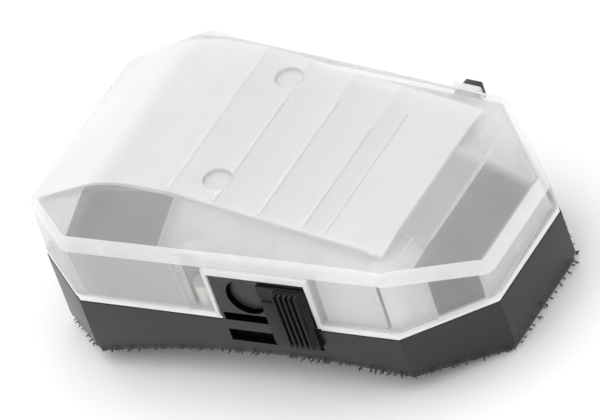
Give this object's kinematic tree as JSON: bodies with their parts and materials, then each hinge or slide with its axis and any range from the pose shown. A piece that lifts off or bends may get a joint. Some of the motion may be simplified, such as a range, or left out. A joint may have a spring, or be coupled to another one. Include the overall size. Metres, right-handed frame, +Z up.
{
  "type": "helmet marker light",
  "caption": "Wedge-shaped helmet marker light: faceted clear cover on a dark arched tray with a curved hook pad, a thumb slider, a recessed button and a rear button.",
  "frame": {"origin": "on the floor under the middle of the light, with both ends of its curved pad touching the floor", "axes": "+X along the light from its high end to its low end, +Y from the thumb slider's side to the rear button's side, +Z up"},
  "size_m": [0.085, 0.0526, 0.0344],
  "materials": {
    "board_laminate": "solder mask",
    "button_rubber": "smooth",
    "cell_wrap": "shrink wrap",
    "ceramic_tan": "ceramic",
    "clear_plastic": "clear, lightly frosted moulding",
    "component_black": "moulded",
    "contact_nickel": "nickel plated",
    "frosted_plastic": "frosted",
    "gasket_rubber": "translucent silicone",
    "hook_fabric": "hook fastener",
    "housing_black": "moulded",
    "infrared_lens": "dark tinted resin",
    "insert_brass": "knurled",
    "lead_black": "insulation",
    "lead_red": "insulation",
    "led_package": "moulded resin",
    "reflector_white": "satin white",
    "screw_steel": "blackened",
    "slider_plastic": "satin",
    "switch_metal": "plated",
    "tray_plastic": "fine moulded texture"
  },
  "bodies": {
    "casing": {"base_tray": "tray_plastic", "battery_cell": "cell_wrap", "battery_cradle": "housing_black", "board_screws": "screw_steel", "circuit_board": "board_laminate", "cover_inserts": "insert_brass", "cover_screws": "screw_steel", "driver_chip": "component_black", "filter_capacitors": "ceramic_tan", "hook_pad": "hook_fabric", "indicator_led": "led_package", "infrared_housing": "housing_black", "infrared_leds": "infrared_lens", "inner_liner": "frosted_plastic", "lens_cover": "clear_plastic", "light_guide": "clear_plastic", "mode_switch": "switch_metal", "narrow_reflector": "reflector_white", "negative_lead": "lead_black", "negative_spring": "contact_nickel", "positive_contact": "contact_nickel", "positive_lead": "lead_red", "power_inductor": "component_black", "rear_switch": "component_black", "seam_gasket": "gasket_rubber", "signal_leds": "led_package", "slide_switch": "switch_metal", "switch_board": "board_laminate", "visible_leds": "led_package", "wide_reflector": "reflector_white"},
    "slider": {"mode_slider": "slider_plastic", "slider_retainer": "slider_plastic"},
    "toggle": {"switch_toggle": "component_black"},
    "mode_key": {"mode_button": "button_rubber"},
    "rear_key": {"rear_button": "button_rubber"}
  },
  "joints": [
    {"name": "slider_slide", "type": "slide", "parent": "casing", "child": "slider", "axis": [-0.997, -0.0585, 0.0499], "range_m": [0, 0.007]},
    {"name": "toggle_slide", "type": "slide", "parent": "casing", "child": "toggle", "axis": [-0.997, -0.0585, 0.0499], "range_m": [0, 0.007]},
    {"name": "mode_button_press", "type": "slide", "parent": "casing", "child": "mode_key", "axis": [-0.0585, 0.9983, 0.0029], "range_m": [0, 0.0008], "stiffness_N_per_m": 1500, "springref_m": -0.0004},
    {"name": "rear_button_press", "type": "slide", "parent": "casing", "child": "rear_key", "axis": [-0.0585, -0.9983, 0.0029], "range_m": [0, 0.0008], "stiffness_N_per_m": 1500, "springref_m": -0.0004}
  ],
  "couplings": [
    {"joint": "toggle_slide", "follows": "slider_slide", "ratio": 1}
  ]
}
